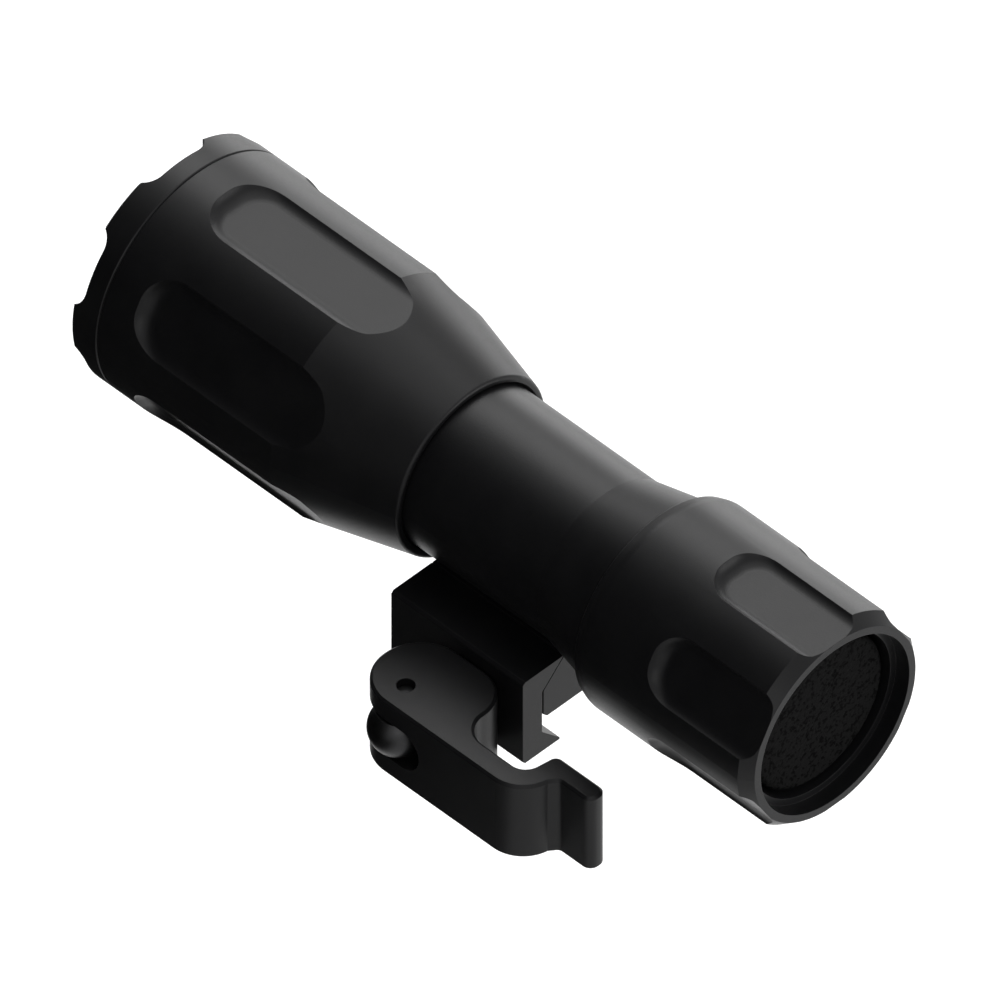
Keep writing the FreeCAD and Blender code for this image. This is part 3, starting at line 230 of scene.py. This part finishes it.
def metal(name, colour, roughness, stretch=(1.0, 1.0, 1.0)):
    """Bare metal with fine tool marks, which a stretch lays along one direction."""
    shader = Shader(name, colour, roughness, metallic=1.0)
    marks = shader.noise(0.12 * MM, detail=3.0, stretch=stretch)
    shader.colour(marks, darker(colour), colour)
    shader.roughness(marks, roughness - 0.08, roughness + 0.1)
    shader.bump(marks, 0.004 * MM, shader.rounded(0.06 * MM))
    return shader.material


MATERIALS = {
    "black_anodised": black_anodised(),
    "window_glass": clear("Coated window glass", (0.86, 0.90, 0.90), 0.02, 1.5, 0.6),
    "lens_acrylic": clear("Lens acrylic", (0.96, 0.97, 0.97), 0.01, 1.49, 0.0),
    # Each rubber's first colour is the painted shade of its pits, and its second is the rubber's own
    # colour.
    "seal_rubber": rubber("Seal rubber", (0.014,) * 3, (0.02,) * 3, 0.3 * MM, 0.01 * MM),
    "pad_rubber": rubber("Pad rubber", (0.002,) * 3, (0.008,) * 3, 0.5 * MM, 0.08 * MM),
    "black_plastic": plastic("Black plastic", (0.022, 0.022, 0.023)),
    "white_plastic": plastic("Slippery white plastic", (0.75, 0.75, 0.72), 0.35),
    "bare_aluminium": metal("Turned aluminium", (0.62, 0.62, 0.63), 0.32, (40.0, 1.0, 1.0)),
    "emitter_board": plastic("White board", (0.70, 0.70, 0.67), 0.4),
    "green_board": plastic("Green board", (0.02, 0.12, 0.045), 0.35),
    "emitter_white": plastic("Emitter package", (0.70, 0.68, 0.52), 0.2),
    "red_wire": plastic("Red insulation", (0.45, 0.02, 0.015), 0.4),
    "black_wire": plastic("Black insulation", (0.015, 0.015, 0.015), 0.4),
    "pin_steel": metal("Ground steel", (0.50, 0.50, 0.51), 0.3, (1.0, 1.0, 12.0)),
    "black_steel": metal("Black oxide steel", (0.040, 0.040, 0.041), 0.4),
    "spring_steel": metal("Spring steel", (0.45, 0.45, 0.46), 0.28),
    "contact_brass": metal("Contact brass", (0.75, 0.58, 0.27), 0.3),
    "cell_sleeve": plastic("Cell sleeve", (0.02, 0.07, 0.22), 0.25),
}


def dress_nodes():
    """Give every carried-over node its material."""
    for part in RECORD["subparts"]:
        item = NODES[part["node"]]
        item.data.materials.clear()
        item.data.materials.append(MATERIALS[part["material_slot"]])


# Pieces that stand for nodes


def place(name, data):
    """Object of a mesh, lamp or camera, linked into the scene."""
    item = bpy.data.objects.new(name, data)
    bpy.context.scene.collection.objects.link(item)
    return item


def copy_of(node, name):
    """Copy of a node's solid, in its place."""
    item = place(name, NODES[node].data.copy())
    item.matrix_world = NODES[node].matrix_world.copy()
    bpy.context.view_layer.update()
    return item


def stand_for(item, node, slot, body):
    """Give a piece its material, and let it ride on a body in place of a node."""
    item.data.materials.clear()
    item.data.materials.append(MATERIALS[slot])
    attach(item, body)
    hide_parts(node)


# Tail button: its edge, the spacing of its rings of points, and the leathery relief's depth, grain
# and fractal (Hurst exponent, lacunarity, octaves).
PAD_EDGE = 0.8 * MM
PAD_EDGE_STEPS = 8
PAD_STEP = 0.22 * MM
PAD_SEGMENTS = 288
PAD_RELIEF = 0.11 * MM
PAD_GRAIN = 0.45 * MM
PAD_FRACTAL = (0.6, 2.0, 3)

# Recess for the plunger's boss, at the pad's back. Its floor is closed inside a last small ring.
RECESS_RADIUS = 3.5 * MM
RECESS_DEPTH = 1.8 * MM
RECESS_CENTRE = RECESS_RADIUS / 9


def lathe(profile, segments, shift):
    """Points and faces of a profile of (x, radius) turned about the barrel's axis."""
    points = []
    for x, radius in profile:
        for step in range(segments):
            turn = 2 * math.pi * step / segments
            point = Vector((x, radius * math.cos(turn), AXIS_Z + radius * math.sin(turn)))
            points.append(shift(point))
    faces = []
    for ring in range(len(profile) - 1):
        for step in range(segments):
            after = (step + 1) % segments
            low, high = ring * segments, (ring + 1) * segments
            faces.append((low + step, low + after, high + after, high + step))
    faces.append(tuple(reversed(range(segments))))
    last = (len(profile) - 1) * segments
    faces.append(tuple(range(last, last + segments)))
    return points, faces


def button_face():
    """Rubber pad with a rounded edge and a leathery face."""
    low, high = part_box("button_pad")
    radius = high.z - AXIS_Z
    flat = radius - PAD_EDGE
    rings = int(flat / PAD_STEP)
    profile = [(low.x, flat * (i + 0.5) / rings) for i in range(rings)]
    for i in range(PAD_EDGE_STEPS + 1):
        turn = math.pi / 2 * i / PAD_EDGE_STEPS
        profile.append((low.x + PAD_EDGE * (1 - math.cos(turn)), flat + PAD_EDGE * math.sin(turn)))
    recess = high.x - RECESS_DEPTH
    profile += [(high.x, radius), (high.x, RECESS_RADIUS), (recess, RECESS_RADIUS),
                (recess, RECESS_CENTRE)]

    def relief(point):
        """Point of the face, sunk by noise between nought and the relief's depth."""
        if point.x > low.x + PAD_EDGE / 2:
            return point
        rough = noise.fractal(point / PAD_GRAIN, *PAD_FRACTAL) * 0.5 + 0.5
        point.x += PAD_RELIEF * min(1.0, max(0.0, rough))
        return point

    points, faces = lathe(profile, PAD_SEGMENTS, relief)
    mesh = bpy.data.meshes.new("Button_face")
    mesh.from_pydata(points, [], faces)
    mesh.update()
    mesh.shade_smooth()
    stand_for(place("Button_face", mesh), "button_pad", "pad_rubber", "button")


# Lever in the plan. Its bend starts, and its hub ends, so far behind the origin. The bend's wedge
# reaches into the arm by a depth, and the arm's root is the hollow between arm and hub.
BEND_START = 18.2 * MM
BEND_RADIUS = 5.0 * MM
BEND_DEPTH = 1.5 * MM
ARM_THICKNESS = 3.3 * MM
ROOT_RADIUS = 3.3 * MM
HUB_BACK = 9.85 * MM
HUB_RADIUS = 4.9 * MM

# Chamfer round the lever's upper and lower faces.
LEVER_EDGE = 0.35 * MM

# The wedges' arcs, in degrees, stop just short of the flat faces that they run into. Elsewhere the
# wedges reach well past the faces that they join or cut.
BEND_SWEEP = (92, 175)
ROOT_SWEEP = (0.5, 89.5)
HUB_SWEEP = (181, 269)
ARC_STEPS = 36
OVERLAP = 1 * MM
WELD = 0.001 * MM
SHARP_ANGLE = math.radians(25)


def arc(centre, radius, first, last):
    """Points of an arc in the plan, by its angles in degrees."""
    points = []
    for step in range(ARC_STEPS + 1):
        turn = math.radians(first + (last - first) * step / ARC_STEPS)
        points.append((centre[0] + radius * math.cos(turn), centre[1] + radius * math.sin(turn)))
    return points


def close(mesh):
    """Weld a mesh's seams and turn its faces outward."""
    shape = bmesh.new()
    shape.from_mesh(mesh)
    bmesh.ops.remove_doubles(shape, verts=shape.verts, dist=WELD)
    bmesh.ops.recalc_face_normals(shape, faces=shape.faces)
    shape.to_mesh(mesh)
    shape.free()


def prism(name, outlines):
    """Closed solid between plan outlines of equal counts, each at its own height."""
    count = len(outlines[0][1])
    points = [(*point, z) for z, outline in outlines for point in outline]
    faces = [tuple(range(count)), tuple(range(len(points) - count, len(points)))]
    for level in range(len(outlines) - 1):
        for step in range(count):
            low, after = level * count, (step + 1) % count
            faces.append((low + step, low + after, low + after + count, low + step + count))
    mesh = bpy.data.meshes.new(name)
    mesh.from_pydata(points, [], faces)
    close(mesh)
    return place(name, mesh)


def lever_wedges(low, high):
    """Wedges for the lever's outer bend, its arm's root and its hub's back corner."""
    heights = ((low.z, LEVER_EDGE), (low.z + LEVER_EDGE, 0.0), (high.z - LEVER_EDGE, 0.0),
               (high.z, LEVER_EDGE))
    bend = (-BEND_START, high.y - BEND_RADIUS)
    inside = arc(bend, BEND_RADIUS - BEND_DEPTH, *reversed(BEND_SWEEP))
    yield "UNION", prism("Bend", [
        (z, arc(bend, BEND_RADIUS - edge, *BEND_SWEEP) + inside) for z, edge in heights])

    arm = high.y - ARM_THICKNESS
    root = (-HUB_BACK - ROOT_RADIUS, arm - ROOT_RADIUS)
    tip = (OVERLAP - HUB_BACK, arm + OVERLAP)
    inside = [(root[0], tip[1]), tip, (tip[0], root[1])]
    yield "UNION", prism("Root", [
        (z, arc(root, ROOT_RADIUS + edge, *ROOT_SWEEP) + inside) for z, edge in heights])

    hub = (HUB_RADIUS - HUB_BACK, low.y + HUB_RADIUS)
    tip = (-HUB_BACK - OVERLAP, low.y - OVERLAP)
    outside = [(hub[0], tip[1]), tip, (tip[0], hub[1])]
    past = ((low.z - OVERLAP, LEVER_EDGE), *heights, (high.z + OVERLAP, LEVER_EDGE))
    yield "DIFFERENCE", prism("Hub", [
        (z, arc(hub, HUB_RADIUS - edge, *HUB_SWEEP) + outside) for z, edge in past])


def carve(item, operation, wedge):
    """Join a wedge to a piece or cut it out, and drop the wedge."""
    change = item.modifiers.new(wedge.name, "BOOLEAN")
    change.operation = operation
    change.solver = "EXACT"
    change.object = wedge
    bpy.context.view_layer.update()
    graph = bpy.context.evaluated_depsgraph_get()
    item.data = bpy.data.meshes.new_from_object(item.evaluated_get(graph))
    item.modifiers.clear()
    bpy.data.objects.remove(wedge)


def lever_body():
    """Lever with broad curves at its bend, at its arm's root and at its hub's back."""
    item = copy_of("lever", "Lever_body")
    close(item.data)
    for operation, wedge in lever_wedges(*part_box("lever")):
        carve(item, operation, wedge)
    # The solid's own normals don't fit the new curves.
    item.data.attributes.remove(item.data.attributes["custom_normal"])
    item.data.shade_smooth()
    item.data.set_sharp_from_angle(angle=SHARP_ANGLE)
    stand_for(item, "lever", "black_anodised", "lever")


def pressed_spring():
    """Return spring of the button, a copy with its own mesh that rides on the tail cap."""
    item = copy_of("button_spring", "Button_return_spring")
    stand_for(item, "button_spring", "spring_steel", "tail_cap")
    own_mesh(item)


# Stage

# The floor lies so low that no shadow reaches the picture.
FLOOR_DROP = 90 * MM
FLOOR_SIZE = 4.0
FLOOR_GLOW = 0.5

# The surroundings' strength as light, and where they are seen.
WORLD_LIGHT = 0.3
WORLD_SEEN = 1.0

# Dark card: its half width, the distances of its near and far edges, and the heights of its top, and
# of its foot above the floor.
FLAG_HALF = 0.45
FLAG_NEAR = 0.060
FLAG_FAR = 0.40
FLAG_TOP = 0.80
FLAG_FOOT = 5 * MM

LAMP_DISTANCE = 0.6

# Lamps: name, direction from the part, size in metres and power in watts.
LAMPS = (
    ("Key", (0.5, -0.5, 0.707), 0.3, 1.5),
    ("Top", (0.0, -0.2, 1.0), 0.5, 1.0),
    ("Rear", (-1.0, -0.5, 0.25), 0.4, 1.6),
    ("Fill", (-0.66, 0.62, 0.42), 0.3, 0.4),
    ("Back", (0.4, -0.9, 0.12), 0.3, 1.0),
)


def seen_rays(tree):
    """One for rays from the camera and off metal or through glass, otherwise nought."""
    path = tree.nodes.new("ShaderNodeLightPath")
    value = path.outputs["Is Camera Ray"]
    for name in ("Is Glossy Ray", "Is Transmission Ray"):
        larger = tree.nodes.new("ShaderNodeMath")
        larger.operation = "MAXIMUM"
        tree.links.new(value, larger.inputs[0])
        tree.links.new(path.outputs[name], larger.inputs[1])
        value = larger.outputs["Value"]
    return value


def floor():
    """Pale floor well below the part, brighter where it is seen."""
    bpy.ops.mesh.primitive_plane_add(size=FLOOR_SIZE,
                                     location=(0, 0, CAD_BOX[0].z - FLOOR_DROP))
    plane = bpy.context.object
    plane.name = "Floor"
    shader = Shader("Pale floor", (0.80, 0.80, 0.80), 0.8)
    shader.set("Specular IOR Level", 0.0)
    shader.set("Emission Color", (1.0, 1.0, 1.0, 1.0))
    glow = shader.add("ShaderNodeMath", operation="MULTIPLY")
    shader.join(seen_rays(shader.tree), glow.inputs[0])
    glow.inputs[1].default_value = FLOOR_GLOW
    shader.join(glow.outputs["Value"], shader.base.inputs["Emission Strength"])
    plane.data.materials.append(shader.material)
    plane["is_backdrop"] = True


def flag():
    """Dark card beside the part that only reflections see, for its near-black lower sides."""
    across = Vector((-1.0, 1.0, 0.0)).normalized() * FLAG_HALF
    away = Vector((1.0, 1.0, 0.0)).normalized()
    low = CAD_BOX[0].z - FLOOR_DROP + FLAG_FOOT
    points = []
    for distance, height in ((FLAG_NEAR, low), (FLAG_FAR, low), (FLAG_FAR, FLAG_TOP)):
        middle = away * distance
        middle.z = height
        points += [middle - across, middle + across]
    mesh = bpy.data.meshes.new("Flag")
    mesh.from_pydata(points, [], [(0, 1, 3, 2), (2, 3, 5, 4)])
    card = place("Flag", mesh)
    card.visible_camera = False
    card.visible_diffuse = False
    card.visible_shadow = False
    shader = Shader("Dark card", (0.02, 0.02, 0.02), 0.9)
    shader.set("Specular IOR Level", 0.0)
    card.data.materials.append(shader.material)
    card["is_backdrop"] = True


def world():
    """Even surroundings, white where they are seen."""
    studio = bpy.data.worlds.new("Studio")
    bpy.context.scene.world = studio
    studio.use_nodes = True
    tree = studio.node_tree
    background = tree.nodes["Background"]
    background.inputs["Color"].default_value = (1.0, 1.0, 1.0, 1.0)
    strength = tree.nodes.new("ShaderNodeMapRange")
    strength.inputs["To Min"].default_value = WORLD_LIGHT
    strength.inputs["To Max"].default_value = WORLD_SEEN
    tree.links.new(seen_rays(tree), strength.inputs["Value"])
    tree.links.new(strength.outputs["Result"], background.inputs["Strength"])


def aim(item, back, distance):
    """Put a lamp or camera at a distance from the part, facing it."""
    item.location = VIEW_TARGET + back * distance
    item.rotation_mode = "QUATERNION"
    item.rotation_quaternion = (-back).to_track_quat("-Z", "Y")


def lights():
    """Square soft lamps that look at the part."""
    for name, direction, size, power in LAMPS:
        lamp = bpy.data.lights.new(name, "AREA")
        lamp.shape = "SQUARE"
        lamp.size = size
        lamp.energy = power
        aim(place(name, lamp), Vector(direction).normalized(), LAMP_DISTANCE)


def camera():
    """Parallel camera on the photographed side."""
    data = bpy.data.cameras.new("Camera")
    data.type = "ORTHO"
    data.ortho_scale = VIEW_WIDTH
    data.clip_start = CLIP_START
    item = place("Camera", data)
    aim(item, VIEW_BACK, VIEW_DISTANCE)
    bpy.context.scene.camera = item


dress_nodes()
button_face()
lever_body()
pressed_spring()
floor()
flag()
world()
lights()
camera()
bpy.context.scene.view_settings.view_transform = "Standard"

boxes = {"cad": CAD_BOX, "final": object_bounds()}
{name: [list(corner) for corner in box] for name, box in boxes.items()}
